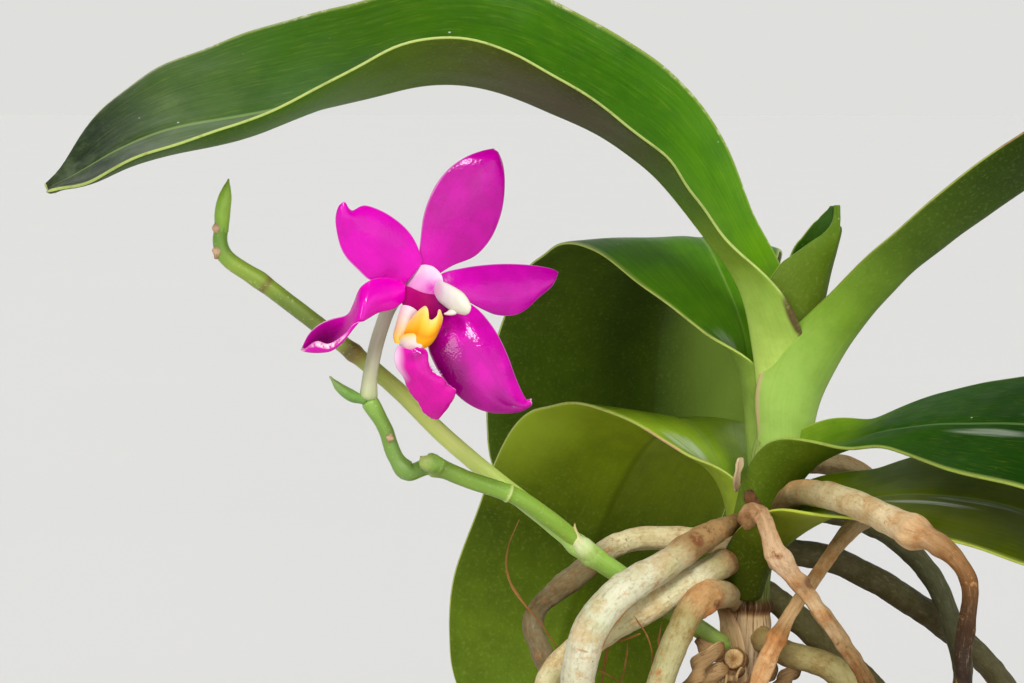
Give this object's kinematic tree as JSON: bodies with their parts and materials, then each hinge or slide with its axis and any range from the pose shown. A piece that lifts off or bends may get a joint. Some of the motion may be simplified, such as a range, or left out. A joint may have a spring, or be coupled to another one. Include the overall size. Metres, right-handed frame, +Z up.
{
  "type": "potted orchid",
  "caption": "Potted moth orchid: arching strap leaves, a forked flower spike with an open magenta bloom, aerial roots over bark medium and a plain clay pot.",
  "frame": {"origin": "centre of the pot's flat base", "axes": "+Z up along the pot's axis, -Y towards the front that shows the bloom, +X to the right seen from the front"},
  "size_m": [0.2562, 0.1712, 0.262],
  "materials": {
    "leaf": "waxy leaf green, semi-gloss",
    "root_pale": "matt corky pale root skin",
    "root_dry": "matt dry tan root skin",
    "root_olive": "matt dark olive root skin",
    "old_stem": "matt fibrous tan old stem",
    "spike": "smooth pale green stalk",
    "bloom_white": "waxy cream white",
    "bloom_magenta": "glossy waxy magenta",
    "bloom_yellow": "waxy yellow orange",
    "clay": "matt unglazed clay",
    "bark": "matt bark chips"
  },
  "bodies": {
    "root": {"leaf_young_centre": "leaf", "leaf_left_arching": "leaf", "leaf_right_upper": "leaf", "leaf_back_upper": "leaf", "leaf_right_broad": "leaf", "leaf_back_lower": "leaf", "leaf_right_lower": "leaf", "root_front_thick": "root_pale", "root_front_low": "root_pale", "root_back_grey": "root_pale", "root_steep": "root_pale", "root_right_hanging": "root_pale", "root_front_under": "root_pale", "root_cut_stub": "root_pale", "root_dry_front": "root_dry", "root_dry_loop": "root_dry", "root_right_olive": "root_olive", "root_right_far": "root_olive", "root_right_under": "root_olive", "stem": "old_stem", "dry_sheath": "old_stem", "flower_spike": "spike", "spike_tip_bract": "spike", "spike_side_bract": "spike", "flower_pedicel": "bloom_white", "column": "bloom_white", "anther_cap": "bloom_white", "lip_midlobe": "bloom_magenta", "sepal_dorsal": "bloom_magenta", "petal_left": "bloom_magenta", "petal_right": "bloom_magenta", "sepal_lower_right": "bloom_magenta", "sepal_lower_left": "bloom_magenta", "lip_side_lobes": "bloom_yellow", "pot": "clay", "bark_medium": "bark"}
  },
  "joints": []
}
